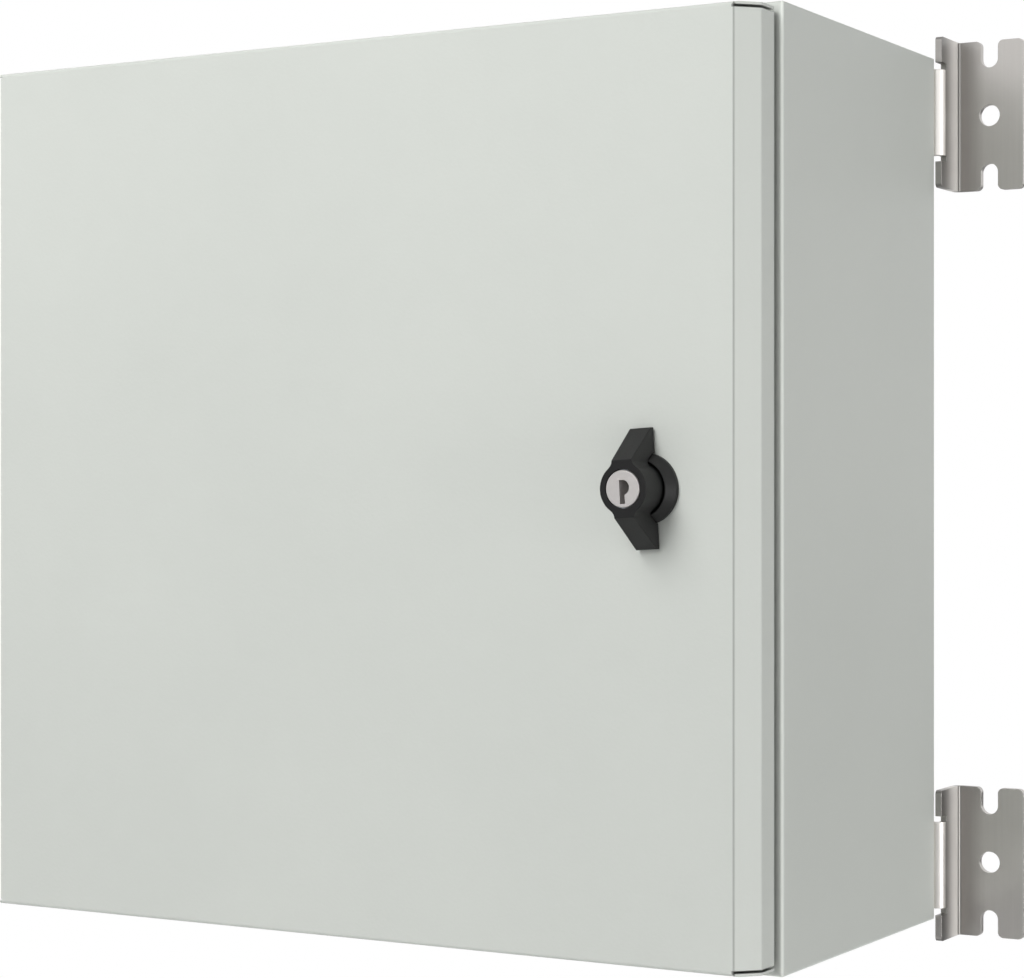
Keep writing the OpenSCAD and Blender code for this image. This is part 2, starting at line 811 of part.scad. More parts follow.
// Lock body in the knob, with the spindle that runs back to the cam
cam_square = 8;
cam_w = 16;
cam_boss = 1;
cam_screw_len = 12;
cam_washer_r = 7.5;
module lock_core() {
    top = knob_h - face_lip - running_fit;
    color(zinc) at_knob() difference() {
        union() {
            translate([0, 0, core_z]) cylinder(r = core_r, h = top - core_z);
            translate([0, 0, z_cam]) cylinder(r = spindle_r, h = core_z - z_cam);
            translate([-cam_square / 2, -cam_square / 2, z_cam - cam_t + screw_clear])
                cube([cam_square, cam_square, cam_t]);
        }
        translate([0, 0, plug_z]) cylinder(r = plug_r + running_fit, h = knob_h);
        translate([0, 0, z_cam - cam_t]) cylinder(r = m5_r + running_fit, h = cam_screw_len);
    }
}

// The cam points down while the lock is open and swings behind the rim to lock
module locking_cam() {
    reach = lip_half_w - lock_x + cam_overlap;
    hole = cam_square + 2 * running_fit;
    color(zinc) at_knob() translate([0, 0, z_cam - cam_t]) difference() {
        union() {
            cylinder(r = cam_w / 2 + cam_boss, h = cam_t);
            translate([-cam_w / 2, cam_w / 2 - reach, 0]) cube([cam_w, reach - cam_w / 2, cam_t]);
            translate([0, cam_w / 2 - reach, 0]) cylinder(r = cam_w / 2, h = cam_t);
        }
        translate([-hole / 2, -hole / 2, -cut]) cube([hole, hole, cam_t + 2 * cut]);
    }
}

module cam_washer() {
    color(zinc) at_knob() translate([0, 0, z_cam - cam_t - washer_t])
        ring(cam_washer_r, m5_r + running_fit, washer_t);
}

module cam_screw() {
    color(zinc) at_knob() translate([0, 0, z_cam - cam_t - washer_t]) mirror([0, 0, 1])
        hex_bolt(m5_across, m5_head_h, m5_r, cam_screw_len);
}

// Cylinder that the key turns, with a slot that has a half-round bulge on its right side
plug_rise = 0.4;
plug_rim = 0.3;
key_depth = 12;
key_w = 2.3;
key_left = -1.4;
key_bottom = -6.1;
key_top = 3.65;
bulge_r = 3.1;
module key_slot() {
    translate([key_left, key_bottom]) square([key_w, key_top - key_bottom]);
    translate([0, key_top - bulge_r]) intersection() {
        circle(bulge_r);
        translate([0, -bulge_r]) square([bulge_r + cut, 2 * bulge_r]);
    }
}

module key_plug() {
    face_z = knob_h + plug_rise;
    rim_z = face_z - plug_rim;
    plug_foot = plug_z + running_fit;
    color(stainless) at_knob() difference() {
        union() {
            translate([0, 0, plug_foot]) cylinder(r = plug_r, h = rim_z - plug_foot);
            translate([0, 0, rim_z]) cylinder(r1 = plug_r, r2 = plug_r - plug_rim, h = plug_rim);
        }
        translate([0, 0, face_z - key_depth]) linear_extrude(key_depth + cut) key_slot();
    }
}

body_shell();
mounting_plate();
plate_studs();
plate_spacers();
plate_washers();
plate_nuts();
gland_gasket();
gland_plate();
gland_screws();
gland_nuts();
upper_left_bracket();
upper_right_bracket();
lower_left_bracket();
lower_right_bracket();
bracket_seals();
bracket_bolts();
bracket_washers();
bracket_nuts();
upper_hinge_body_leaf();
lower_hinge_body_leaf();
hinge_screws();
hinge_nuts();
body_earth_stud();
body_earth_washer();
body_earth_nut();
door_skin();
door_gasket();
upper_hinge_door_leaf();
lower_hinge_door_leaf();
upper_hinge_pin();
lower_hinge_pin();
door_earth_stud();
door_earth_washer();
door_earth_nut();
lock_collar();
collar_seal();
lock_nut();
wing_knob();
lock_core();
locking_cam();
cam_washer();
cam_screw();
key_plug();
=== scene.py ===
import json
import math

import bmesh
import bpy
import numpy as np
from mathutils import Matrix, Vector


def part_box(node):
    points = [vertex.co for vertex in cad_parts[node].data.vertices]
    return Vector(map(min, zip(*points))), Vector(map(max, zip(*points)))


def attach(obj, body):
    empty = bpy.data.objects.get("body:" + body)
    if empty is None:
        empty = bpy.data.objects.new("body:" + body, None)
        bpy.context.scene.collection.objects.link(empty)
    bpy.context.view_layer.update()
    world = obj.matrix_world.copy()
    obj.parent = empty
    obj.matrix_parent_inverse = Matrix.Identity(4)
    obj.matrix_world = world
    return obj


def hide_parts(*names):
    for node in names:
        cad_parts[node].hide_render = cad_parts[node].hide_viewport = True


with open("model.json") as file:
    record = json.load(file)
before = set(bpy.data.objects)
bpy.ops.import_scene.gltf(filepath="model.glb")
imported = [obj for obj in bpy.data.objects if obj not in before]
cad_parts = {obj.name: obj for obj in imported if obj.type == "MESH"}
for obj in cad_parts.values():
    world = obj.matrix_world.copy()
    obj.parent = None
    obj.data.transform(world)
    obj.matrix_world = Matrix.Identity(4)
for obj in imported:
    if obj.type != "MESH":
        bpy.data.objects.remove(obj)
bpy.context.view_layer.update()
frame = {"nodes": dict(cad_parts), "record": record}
nodes = frame["nodes"]
print("frame loaded:", len(nodes), "nodes")


class Signal:
    # a shader socket; + - * between signals and numbers add Math nodes
    def __init__(self, finish, socket):
        self.finish = finish
        self.socket = socket

    def combine(self, operation, first, second):
        return self.finish.node("Math", {"operation": operation}, {0: first, 1: second})

    def __add__(self, other):
        return self.combine("ADD", self, other)

    def __radd__(self, other):
        return self.combine("ADD", other, self)

    def __sub__(self, other):
        return self.combine("SUBTRACT", self, other)

    def __rsub__(self, other):
        return self.combine("SUBTRACT", other, self)

    def __mul__(self, other):
        return self.combine("MULTIPLY", self, other)

    def __rmul__(self, other):
        return self.combine("MULTIPLY", other, self)


class Finish:
    # one material, or the world, and the nodes that are added to it
    def __init__(self, name, constants=None, owner=None):
        self.owner = owner or bpy.data.materials.new(name)
        self.owner.use_nodes = True
        self.tree = self.owner.node_tree
        self.surface = self.tree.nodes.get("Principled BSDF")
        for socket, value in (constants or {}).items():
            self.surface.inputs[socket].default_value = value

    def node(self, kind, settings=None, sockets=None, out=0):
        made = self.tree.nodes.new("ShaderNode" + kind)
        for name, value in (settings or {}).items():
            if name == "stops":
                self.setStops(made.color_ramp, value)
            else:
                setattr(made, name, value)
        for key, value in (sockets or {}).items():
            self.feed(made.inputs[key], value)
        return Signal(self, made.outputs[out])

    def setStops(self, ramp, stops):
        while len(ramp.elements) < len(stops):
            ramp.elements.new(1.0)
        for element, (place, shade) in zip(ramp.elements, stops):
            element.position = place
            element.color = (shade, shade, shade, 1.0)

    def feed(self, socket, value):
        if isinstance(value, Signal):
            self.tree.links.new(value.socket, socket)
        else:
            socket.default_value = value

    def give(self, socket, value):
        self.feed(self.surface.inputs[socket], value)

    def place(self, stretch=(1, 1, 1), centre=(0, 0, 0)):
        # object coordinates in metres, moved to a centre and stretched
        spot = self.node("TexCoord", out="Object")
        back = self.node("VectorMath", {"operation": "SUBTRACT"}, {0: spot, 1: centre})
        return self.node("VectorMath", {"operation": "MULTIPLY"}, {0: back, 1: stretch})

    def noise(self, scale, detail=2.0, roughness=0.5, vector=None):
        return self.node("TexNoise", None, {
            "Vector": vector or self.place(), "Scale": scale, "Detail": detail,
            "Roughness": roughness}, out="Fac")

    def axes(self):
        # the three object coordinates, in metres
        spot = self.node("TexCoord", out="Object")
        return [self.node("SeparateXYZ", None, {"Vector": spot}, out=axis) for axis in "XYZ"]

    def size(self, value):
        return self.node("Math", {"operation": "ABSOLUTE"}, {0: value})

    def slope(self, value, low, high, first=0.0, last=1.0):
        # goes smoothly from first at low to last at high
        return self.node("MapRange", {"interpolation_type": "SMOOTHSTEP"}, {
            "Value": value, "From Min": low, "From Max": high, "To Min": first, "To Max": last})

    def shaded(self, tint, factor):
        return self.node("VectorMath", {"operation": "SCALE"}, {0: tint, "Scale": factor})

    def ramp(self, value, stops):
        return self.node("ValToRGB", {"stops": stops}, {"Fac": value})

    def blend(self, share, first, second):
        return self.node("Mix", {"data_type": "RGBA"}, {0: share, 6: first, 7: second}, out=2)

    def softEdge(self, radius):
        # rounds the shading at sheet edges and machined corners
        return self.node("Bevel", {"samples": 6}, {"Radius": radius})

    def relief(self, height, depth, under=None):
        sockets = {"Height": height, "Distance": depth, "Strength": 1.0}
        if under:
            sockets["Normal"] = under
        self.give("Normal", self.node("Bump", None, sockets))


def colour(red, green, blue):
    return (red, green, blue, 1.0)


paintLook = {
    "light": colour(0.655, 0.680, 0.640),
    "shade": colour(0.630, 0.655, 0.617),
    "cloudScale": 7.0,
    "toneStops": [(0.35, 0.0), (0.65, 1.0)],
    "roughness": (0.36, 0.14),       # lowest, and what the grain adds
    "doorFace": (-0.2176, -0.2168),  # y just behind the door's face
    "bendX": 0.1884,                 # where the slanted edge is folded; a painted shade line runs along it
    "bendWidth": 0.0006,
    "bendPaintedShade": 0.24,
    "seamX": (0.1872, 0.1878),       # the open corner seams, with painted shade at their bottom
    "seamY": (-0.2006, -0.2000),
    "seamZ": (0.1945, 0.1960),
    "seamBlur": 0.0002,
    "seamPaintedShade": 0.60,
    "cornerX": (0.1985, 0.1989),     # painted highlight along the body's front corner
    "cornerY": (-0.1944, -0.1940),
    "cornerPaintedHighlight": 0.33,
    "peelScale": 620.0,
    "peelDepth": 0.000055,
    "grainScale": 2600.0,
    "edgeRadius": 0.0006,
}


def makePaint():
    look = paintLook
    paint = Finish("grey powder coat", {"IOR": 1.48, "Specular IOR Level": 0.42})
    cloud = paint.noise(look["cloudScale"], 4.0, 0.6)
    speck = paint.noise(look["grainScale"], 1.0)
    tone = cloud * 0.7 + speck * 0.3
    coat = paint.blend(paint.ramp(tone, look["toneStops"]), look["shade"], look["light"])
    x, y, z = paint.axes()
    width = look["bendWidth"]
    # painted shade: a dark line along the slanted edge's bend, near the door's face
    fold = paint.slope(paint.size(x - look["bendX"]), 0.4 * width, width, 1.0, 0.0)
    fold = fold * paint.slope(y, *look["doorFace"], 1.0, 0.0)
    # painted shade at the bottom of the open corner seams
    low, high = look["seamZ"]
    blur, height = look["seamBlur"], paint.size(z)
    seam = paint.slope(height, low, low + blur) * paint.slope(height, high - blur, high, 1.0, 0.0)
    seam = seam * paint.slope(x, *look["seamX"]) * paint.slope(y, *look["seamY"], 1.0, 0.0)
    # painted highlight along the body's front corner
    corner = paint.slope(paint.size(x), *look["cornerX"])
    corner = corner * paint.slope(y, *look["cornerY"], 1.0, 0.0)
    # the coat's colour times the painted shade lines and the painted highlight
    paint.give("Base Color", paint.shaded(
        coat, (1 - fold * look["bendPaintedShade"]) * (1 - seam * look["seamPaintedShade"])
        * (1 + corner * look["cornerPaintedHighlight"])))
    smooth, dry = look["roughness"]
    paint.give("Roughness", smooth + speck * dry)
    peel = paint.noise(look["peelScale"], 3.0, 0.45)
    paint.relief(peel + speck * 0.25, look["peelDepth"], paint.softEdge(look["edgeRadius"]))
    return paint


stainlessLook = {
    "light": colour(0.62, 0.60, 0.575),
    "dark": colour(0.52, 0.50, 0.48),
    "flangeY": (-0.0056, -0.0042),    # the flange starts here and lies on the wall
    "creaseX": (0.2045, 0.2180),      # painted shade, darker beside the fold
    "creasePaintedShade": 0.52,
    "riserY": (-0.026, -0.005),       # the riser, from its front edge to the fold, with painted shade at the front edge growing to a painted highlight at the fold
    "riserPaintedShades": (0.42, 1.55),
    "endY": (-0.0262, -0.0258),       # the sheet's cut ends, with painted light
    "endPaintedLight": 0.35,
    "tabMiddle": 0.175,               # height of the bracket's middle
    "tabZ": (0.0198, 0.0204),         # half height of the tab behind the body
    "tabY": (-0.0212, -0.0204),
    # painted highlight on the tab
    "tabPaintedHighlight": 1.45,
    "satinY": (-0.024, -0.008),       # the riser turns satin towards the fold
    "satinSheen": 0.45,               # how far that is from a mirror
    "satinRough": 0.34,
    "roughness": (0.26, 0.1, 0.08),   # lowest, and what strokes and clouds add
    "cloudScale": 55.0,
    "brush": (900.0, 900.0, 16.0),
    "brushDepth": 0.000006,
    "edgeRadius": 0.0004,
}


def makeStainless():
    look = stainlessLook
    steel = Finish("brushed stainless steel")
    strokes = steel.noise(1.0, 3.0, 0.6, steel.place(look["brush"]))
    cloud = steel.noise(look["cloudScale"], 3.0)
    x, y, z = steel.axes()
    onFlange = steel.slope(y, *look["flangeY"])
    # painted shade on the flange beside the fold
    flange = steel.slope(steel.size(x), *look["creaseX"], look["creasePaintedShade"], 1.0)
    # painted shade and painted highlight: a ramp along the riser
    riser = steel.slope(y, *look["riserY"], *look["riserPaintedShades"])
    # painted light on the sheet's cut ends
    riser = riser + steel.slope(y, *look["endY"], look["endPaintedLight"], 0.0)
    # painted highlight on the tab behind the body
    fromMiddle = steel.size(steel.size(z) - look["tabMiddle"])
    onTab = steel.slope(fromMiddle, *look["tabZ"], 1.0, 0.0)
    onTab = onTab * steel.slope(y, *look["tabY"], 1.0, 0.0)
    tab = onTab * look["tabPaintedHighlight"] + (1 - onTab) * riser
    # tone carries all of the bracket's painted shade and painted highlights
    tone = onFlange * flange + (1 - onFlange) * tab
    metal = steel.blend(strokes * 0.6 + cloud * 0.4, look["dark"], look["light"])
    steel.give("Base Color", steel.shaded(metal, tone))
    satin = (1 - onFlange) * steel.slope(y, *look["satinY"])
    steel.give("Metallic", 1 - satin * look["satinSheen"])
    smooth, brushed, clouded = look["roughness"]
    steel.give("Roughness", smooth + strokes * brushed + cloud * clouded
               + satin * look["satinRough"])
    steel.relief(strokes, look["brushDepth"], steel.softEdge(look["edgeRadius"]))
    return steel


zincLook = {
    "blue": colour(0.60, 0.64, 0.68),
    "straw": colour(0.69, 0.67, 0.60),
    "driftScale": 130.0,
    "driftStops": [(0.4, 0.0), (0.62, 1.0)],
    "grainScale": 1800.0,
    "grainDepth": 0.000015,
    "roughness": (0.28, 0.16),
    "edgeRadius": 0.0003,
}


def makeZinc():
    look = zincLook
    zinc = Finish("zinc plating", {"Metallic": 1.0})
    drift = zinc.noise(look["driftScale"], 3.0)
    grain = zinc.noise(look["grainScale"], 2.0)
    zinc.give("Base Color", zinc.blend(zinc.ramp(drift, look["driftStops"]),
                                       look["blue"], look["straw"]))
    smooth, dry = look["roughness"]
    zinc.give("Roughness", smooth + grain * dry)
    zinc.relief(grain, look["grainDepth"], zinc.softEdge(look["edgeRadius"]))
    return zinc


spangleLook = {
    "dark": colour(0.57, 0.60, 0.63),
    "light": colour(0.73, 0.76, 0.79),
    "crystalScale": 110.0,
    "warpScale": 60.0,
    "warp": (0.006, 0.006, 0.006),
    "grainScale": 900.0,
    "grainDepth": 0.00001,
    "roughness": (0.30, 0.22),
    "edgeRadius": 0.0003,
}


def makeGalvanised():
    # crystals with bent borders, each of its own shade
    look = spangleLook
    sheet = Finish("galvanised sheet", {"Metallic": 1.0})
    nudged = sheet.node("VectorMath", {"operation": "MULTIPLY_ADD"}, {
        0: look["warp"], 1: sheet.noise(look["warpScale"], 2.0), 2: sheet.place()})
    crystal = sheet.node("TexVoronoi", {"feature": "F1"},
                         {"Vector": nudged, "Scale": look["crystalScale"]}, out="Color")
    shade = sheet.node("SeparateColor", None, {"Color": crystal}, out="Red")
    sheet.give("Base Color", sheet.blend(shade, look["dark"], look["light"]))
    smooth, dry = look["roughness"]
    sheet.give("Roughness", smooth + shade * dry)
    sheet.relief(sheet.noise(look["grainScale"]), look["grainDepth"],
                 sheet.softEdge(look["edgeRadius"]))
    return sheet


plasticLook = {
    "deep": colour(0.008, 0.008, 0.008),
    "worn": colour(0.013, 0.013, 0.013),
    "cloudScale": 160.0,
    "grainScale": 2300.0,
    "grainDepth": 0.000045,
    "roughness": (0.40, 0.18),
    "edgeRadius": 0.0007,
}


def makeBlackPlastic():
    look = plasticLook
    plastic = Finish("black moulded plastic", {"IOR": 1.5, "Specular IOR Level": 0.28})
    grain = plastic.noise(look["grainScale"], 3.0, 0.6)
    cloud = plastic.noise(look["cloudScale"], 2.0)
    plastic.give("Base Color", plastic.blend(cloud, look["deep"], look["worn"]))
    smooth, dry = look["roughness"]
    plastic.give("Roughness", smooth + grain * dry)
    plastic.relief(grain, look["grainDepth"], plastic.softEdge(look["edgeRadius"]))
    return plastic


foamLook = {
    "cell": colour(0.018, 0.018, 0.019),
    "wall": colour(0.050, 0.050, 0.052),
    "cellScale": 1400.0,
    "cellStops": [(0.1, 0.0), (0.7, 1.0)],
    "cellDepth": 0.0001,
    "roughness": (0.72, 0.2),
}


def makeFoam():
    look = foamLook
    foam = Finish("dark foam seal", {"IOR": 1.4})
    cells = foam.node("TexVoronoi", {"feature": "F1"},
                      {"Vector": foam.place(), "Scale": look["cellScale"]}, out="Distance")
    foam.give("Base Color", foam.blend(foam.ramp(cells, look["cellStops"]),
                                       look["cell"], look["wall"]))
    smooth, dry = look["roughness"]
    foam.give("Roughness", smooth + cells * dry)
    foam.relief(cells, look["cellDepth"])
    return foam


faceLook = {
    "light": colour(0.63, 0.605, 0.59),
    "dark": colour(0.51, 0.49, 0.48),
    "metal": 0.35,
    "ringsPerMetre": 5200.0,
    "ringDepth": 0.000008,
    "cloudScale": 320.0,
    "roughness": (0.34, 0.12),
    "edgeRadius": 0.0002,
}


def makeTurnedFace(axis):
    # fine turning marks run in rings round the lock's axis
    look = faceLook
    metal = Finish("turned nickel face", {"Metallic": look["metal"]})
    spot = metal.place((1, 0, 1), axis)
    radius = metal.node("VectorMath", {"operation": "LENGTH"}, {0: spot}, out="Value")
    rings = metal.noise(1.0, 2.0, 0.6, metal.node(
        "CombineXYZ", None, {"X": radius * look["ringsPerMetre"]}))
    cloud = metal.noise(look["cloudScale"], 2.0)
    metal.give("Base Color", metal.blend(rings * 0.5 + cloud * 0.5, look["dark"], look["light"]))
    smooth, dry = look["roughness"]
    metal.give("Roughness", smooth + rings * dry)
    metal.relief(rings, look["ringDepth"], metal.softEdge(look["edgeRadius"]))
    return metal


def centreOf(node):
    low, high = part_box(node)
    return (low + high) / 2


def span(node, axis):
    # where a node starts and ends along one axis
    low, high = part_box(node)
    return low[axis], high[axis]


lockAxis = centreOf("key_plug")
finishes = {
    "grey_paint": makePaint(),
    "stainless_steel": makeStainless(),
    "zinc_plated_steel": makeZinc(),
    "galvanised_sheet": makeGalvanised(),
    "black_plastic": makeBlackPlastic(),
    "dark_foam_rubber": makeFoam(),
    "nickel_plated_face": makeTurnedFace(tuple(lockAxis)),
}


def dressNodes():
    for part in frame["record"]["subparts"]:
        piece = nodes[part["node"]]
        piece.data.materials.clear()
        piece.data.materials.append(finishes[part["material_slot"]].owner)


dressNodes()
print("finishes:", len(finishes))

meshLook = {
    "weld": 0.000002,         # points nearer than this become one
    "degenerate": 0.000001,
    "sharpAngle": 32,
}


def gridFaces(rows, columns, loop):
    # quads between neighbouring rows; the columns close on themselves, and with loop the rows do
    row = np.arange(rows if loop else rows - 1)[:, None]
    column = np.arange(columns)[None, :]
    after, below = (column + 1) % columns, (row + 1) % rows
    return np.stack([row * columns + column, row * columns + after,
                     below * columns + after, below * columns + column], axis=-1).reshape(-1, 4)


def addPiece(name, shells, slot, body, *replaced):
    # joins point grids into one mesh; each shell is an array of rows, columns and xyz, and a flag
    points, faces, start = [], [], 0
    for grid, loop in shells:
        rows, columns = grid.shape[:2]
        points.append(grid.reshape(-1, 3))
        faces.append(gridFaces(rows, columns, loop) + start)
        start += rows * columns
    points, faces = np.concatenate(points), np.concatenate(faces)
    mesh = bpy.data.meshes.new(name)
    mesh.vertices.add(len(points))
    mesh.vertices.foreach_set("co", points.ravel())
    mesh.loops.add(faces.size)
    mesh.loops.foreach_set("vertex_index", faces.ravel())
    mesh.polygons.add(len(faces))
    mesh.polygons.foreach_set("loop_start", np.arange(0, faces.size, 4))
    mesh.polygons.foreach_set("loop_total", np.full(len(faces), 4))
    mesh.update(calc_edges=True)
    work = bmesh.new()
    work.from_mesh(mesh)
    bmesh.ops.remove_doubles(work, verts=work.verts, dist=meshLook["weld"])
    bmesh.ops.dissolve_degenerate(work, edges=work.edges, dist=meshLook["degenerate"])
    bmesh.ops.recalc_face_normals(work, faces=work.faces)
    work.to_mesh(mesh)
    work.free()
    mesh.polygons.foreach_set("use_smooth", np.full(len(mesh.polygons), True))
    mesh.set_sharp_from_angle(angle=math.radians(meshLook["sharpAngle"]))
    piece = bpy.data.objects.new(name, mesh)
    bpy.context.scene.collection.objects.link(piece)
    mesh.materials.append(finishes[slot].owner)
    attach(piece, body)
    if replaced:
        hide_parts(*replaced)


fixings = {
    "m4": {"across": 0.0070, "radius": 0.0020, "pitch": 0.00070},
    "m5": {"across": 0.0080, "radius": 0.0025, "pitch": 0.00080},
    "m6": {"across": 0.0100, "radius": 0.0030, "pitch": 0.00100},
    "m8": {"across": 0.0130, "radius": 0.0040, "pitch": 0.00125},
    "fit": 0.00005,           # between a nut and its thread
    "nutLead": 0.0004,
    "threadStart": 0.0001,    # from the seat to the first turn
    "headBase": 0.0005,       # where the hexagon starts on a bolt's flange
    "studRoot": 0.0010,
    "washerM8": 0.0080,       # radii
    "flangeM5": 0.0056,
    "flangeM6": 0.0050,
    "flangeCam": 0.0046,
    "headM4": 0.00375,
    "socketM4": 0.0025,       # across its flats
    "socketDepthM4": 0.0012,
    "sinkM4": 0.0016,         # depth of the countersunk head
    "boltFlange": [(0.0010, 0.0006), (0.0007, 0.0001), (0.0004, 0.0), (0.0, 0.0)],
    "studFlange": [(0.0, 0.0), (0.0007, 0.0), (0.0010, 0.0003)],
}
softRings = {                 # how far a ring's rim stands in, and how far it swells
    "bracket": {"inset": 0.0003, "bulge": 0.0006},
    "collar": {"inset": 0.0002, "bulge": 0.0002},
}
backward = (0.0, 1.0, 0.0)
forward = (0.0, -1.0, 0.0)
upward = (0.0, 0.0, 1.0)
downward = (0.0, 0.0, -1.0)
turnSteps = 36
turnAngles = np.arange(turnSteps) * 2 * math.pi / turnSteps


def turned(place, direction, rows, loop=False):
    # point = place + height * direction + radius * (cos a * across + sin a * up),
    # where each row gives a height and a radius, and the radius may change with the angle
    direction = np.asarray(direction, float)
    across = np.roll(direction, 1)
    up = np.cross(direction, across)
    heights = np.array([height for height, radius in rows])
    radii = np.array([np.broadcast_to(radius, turnSteps) for height, radius in rows])
    ring = np.cos(turnAngles)[:, None] * across + np.sin(turnAngles)[:, None] * up
    grid = np.asarray(place) + heights[:, None, None] * direction + radii[:, :, None] * ring
    return grid, loop


def hexRadius(across):
    # distance from the axis to the side of a hexagon, at each angle
    return across / 2 / np.cos((turnAngles + math.pi / 6) % (math.pi / 3) - math.pi / 6)


def hexRows(across, low, high, cutLow=True):
    # side of a hexagon, from low to high; a 30 degree cone cuts its corners at the ends
    flat = hexRadius(across)
    face = across / 2 * 0.95
    depth = (across / math.sqrt(3) - face) / math.sqrt(3)
    share = np.linspace(0, 1, 5)
    cone = face + math.sqrt(3) * depth * share
    bottom = [(low + depth * t, np.minimum(flat, c)) for t, c in zip(share, cone)]
    top = [(high - depth * t, np.minimum(flat, c)) for t, c in zip(share[::-1], cone[::-1])]
    return (bottom if cutLow else [(low, flat)]) + top


def threadRows(radius, pitch, start, end):
    # helix: radius - depth * (1 - cos(2 pi (height / pitch - turn))) / 2, fading at both ends,
    # and cut by a cone at the far end
    depth = 0.5 * pitch
    heights = np.linspace(start, end, max(8, int(abs(end - start) / pitch * 6)))
    phase = heights[:, None] / pitch - turnAngles / (2 * math.pi)
    ripple = (1 - np.cos(2 * math.pi * phase)) / 2
    fromStart = np.abs(heights - start) / pitch
    fromEnd = np.abs(heights - end) / pitch
    fade = np.clip(np.minimum(fromStart, fromEnd + 0.5), 0, 1)[:, None]
    cone = (radius - depth + depth * fromEnd)[:, None]
    return list(zip(heights, np.minimum(radius - depth * ripple * fade, cone)))


def nutShell(place, direction, across, bore, height):
    # closed ring: bore, lead-in, face, hexagon, face, lead-in
    lead = fixings["nutLead"]
    rows = [(lead, bore), (0, bore + lead)] + hexRows(across, 0, height)
    rows += [(height, bore + lead), (height - lead, bore)]
    return turned(place, direction, rows, loop=True)


def boltShell(place, direction, bolt):
    # from the top of the head to the end of the shank; the head's underside is at height 0
    flange, head, shank = bolt["flange"], bolt["head"], bolt["radius"]
    hexagon = hexRows(bolt["across"], fixings["headBase"], head, cutLow=False)[::-1]
    rows = [(head, 0)] + hexagon
    rows += [(height, flange - inset) for height, inset in fixings["boltFlange"]]
    rows += [(0, shank)]
    rows += threadRows(shank, bolt["pitch"], -fixings["threadStart"], -bolt["length"])
    return turned(place, direction, rows + [(-bolt["length"], 0)])


def studShell(place, direction, stud):
    # stands on a small flange or straight on the sheet
    root = fixings["studRoot"]
    rows = [(0, 0)]
    if stud["flange"]:
        rows += [(height, stud["flange"] - inset) for height, inset in fixings["studFlange"]]
    rows += [(root, stud["radius"])]
    rows += threadRows(stud["radius"], stud["pitch"], root + fixings["threadStart"],
                       stud["length"])
    return turned(place, direction, rows + [(stud["length"], 0)])


def ringShell(place, direction, outer, inner, low, high, bulge):
    # soft ring: its rim is outer + bulge * (1 - t squared), with t from -1 to 1 between the faces
    share = np.linspace(-1, 1, 7)
    middle, half = (low + high) / 2, (high - low) / 2
    rows = [(middle + half * t, outer + bulge * (1 - t * t)) for t in share]
    rows += [(high, inner), (low, inner)]
    return turned(place, direction, rows, loop=True)


def cornerSpots(node, radius):
    # x and z of four equal round pieces in the corners of a node's box
    low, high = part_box(node)
    return [(x, z) for x in (low[0] + radius, high[0] - radius)
            for z in (low[2] + radius, high[2] - radius)]


def addNuts(name, places, direction, kind, replaced, body="enclosure"):
    # one nut for each place, as high as the node that it stands for
    size = fixings[kind]
    axis = int(np.argmax(np.abs(direction)))
    low, high = span(replaced, axis)
    shells = [nutShell(place, direction, size["across"], size["radius"] + fixings["fit"],
                       high - low) for place in places]
    addPiece(name, shells, "zinc_plated_steel", body, replaced)


def makeWallBolts():
    size, flange = fixings["m8"], fixings["washerM8"]
    spots = cornerSpots("bracket_washers", flange)
    front, rear = span("bracket_bolts", 1)
    seat, sealRear = span("bracket_seals", 1)
    bolt = dict(size, head=seat - front, flange=flange, length=rear - seat)
    addPiece("wall_bolts", [boltShell((x, seat, z), forward, bolt) for x, z in spots],
             "zinc_plated_steel", "enclosure", "bracket_bolts")
    nutFront = span("bracket_nuts", 1)[0]
    addNuts("wall_bolt_nuts", [(x, nutFront, z) for x, z in spots], backward, "m8",
            "bracket_nuts")
    soft = softRings["bracket"]
    seals = [ringShell((x, 0, z), backward, flange - soft["inset"],
                       size["radius"] + fixings["fit"], seat, sealRear, soft["bulge"])
             for x, z in spots]
    addPiece("wall_bolt_seals", seals, "dark_foam_rubber", "enclosure", "bracket_seals")


def makePlateStuds():
    spots = cornerSpots("plate_washers", fixings["washerM8"])
    front, rear = span("plate_studs", 1)
    stud = dict(fixings["m8"], flange=0, length=rear - front)
    addPiece("plate_stud_threads", [studShell((x, rear, z), forward, stud) for x, z in spots],
             "zinc_plated_steel", "enclosure", "plate_studs")
    nutRear = span("plate_nuts", 1)[1]
    addNuts("plate_stud_nuts", [(x, nutRear, z) for x, z in spots], forward, "m8", "plate_nuts")


def makeGlandFixings():
    flange, seat = fixings["flangeM5"], span("gland_plate", 2)[0]
    low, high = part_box("gland_screws")
    spots = [(x, y) for x in (low[0] + flange, (low[0] + high[0]) / 2, high[0] - flange)
             for y in (low[1] + flange, high[1] - flange)]
    bolt = dict(fixings["m5"], head=seat - low[2], flange=flange, length=high[2] - seat)
    addPiece("gland_bolts", [boltShell((x, y, seat), downward, bolt) for x, y in spots],
             "zinc_plated_steel", "enclosure", "gland_screws")
    base = span("gland_nuts", 2)[0]
    addNuts("gland_bolt_nuts", [(x, y, base) for x, y in spots], upward, "m5", "gland_nuts")


